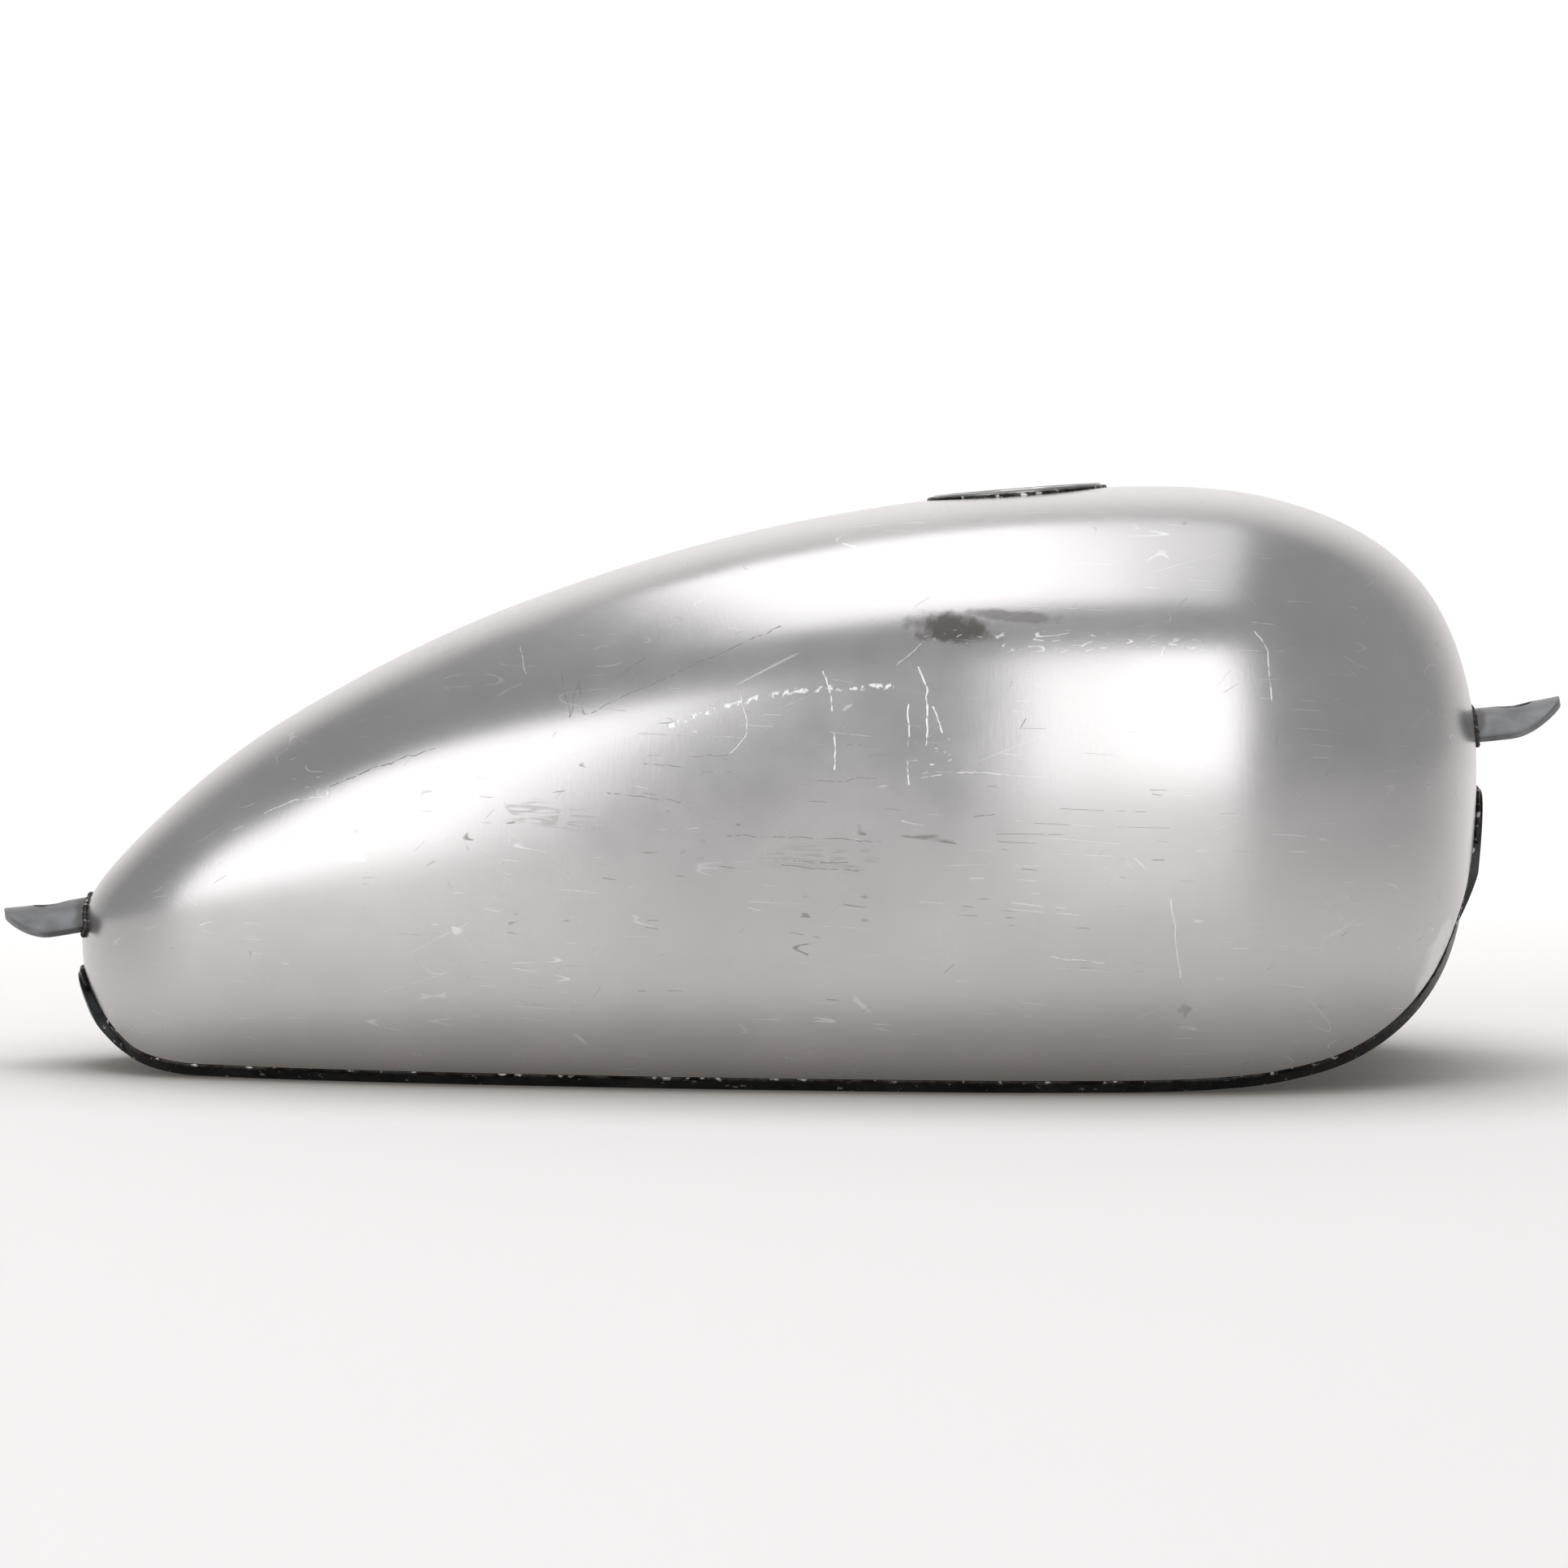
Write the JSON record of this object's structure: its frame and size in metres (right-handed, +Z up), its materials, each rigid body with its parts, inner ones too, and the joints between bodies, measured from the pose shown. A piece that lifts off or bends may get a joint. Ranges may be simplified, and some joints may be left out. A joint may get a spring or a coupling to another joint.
{
  "type": "motorcycle fuel tank",
  "caption": "Teardrop custom motorcycle fuel tank in bare steel: welded half shells on a pan with a frame tunnel, arched mounting tabs at both ends and a flush screw cap.",
  "frame": {"origin": "centre of the overall box, on the plane that the pan's lip stands on", "axes": "+X to the front of the motorcycle (the deep end), +Y to its left, +Z up; the pictured side faces -Y"},
  "size_m": [0.54, 0.2386, 0.2022],
  "materials": {
    "bare_steel": "bare cold-rolled sheet, satin, handled and scratched",
    "dark_steel": "bare sheet with dark mill scale",
    "tab_steel": "hot-rolled plate, grey scale",
    "weld": "as-welded bead with heat tint and oxide",
    "machined_steel": "turned",
    "turned_aluminium": "turned, satin",
    "rubber": "moulded fuel-proof rubber",
    "brass": "turned"
  },
  "bodies": {
    "tank": {"right_shell": "bare_steel", "left_shell": "bare_steel", "crest_weld_front": "bare_steel", "crest_weld_rear": "bare_steel", "tunnel_pan": "dark_steel", "edge_weld_right": "weld", "edge_weld_left": "weld", "mouth_weld_front": "weld", "mouth_weld_rear": "weld", "front_tab": "tab_steel", "front_tab_weld": "weld", "rear_tab": "tab_steel", "rear_tab_weld": "weld", "filler_bung": "machined_steel", "filler_weld": "weld", "petcock_bung": "machined_steel", "petcock_bung_weld": "weld", "crossover_bung_right": "machined_steel", "crossover_weld_right": "weld", "crossover_bung_left": "machined_steel", "crossover_weld_left": "weld"},
    "cap_seal": {"cap_o_ring": "rubber"},
    "cap": {"filler_cap": "turned_aluminium", "cap_vent_valve": "brass"}
  },
  "joints": [
    {"name": "cap_rise", "type": "slide", "parent": "tank", "child": "cap_seal", "axis": [-0.0785, 0, 0.9969], "range_m": [0, 0.01]},
    {"name": "cap_turn", "type": "hinge", "parent": "cap_seal", "child": "cap", "pos_m": [0.0813, 0, 0.19995], "axis": [-0.0785, 0, 0.9969], "range_deg": [0, 900]}
  ],
  "couplings": [
    {"joint": "cap_rise", "follows": "cap_turn", "m_per_rad": 0.0006366}
  ]
}
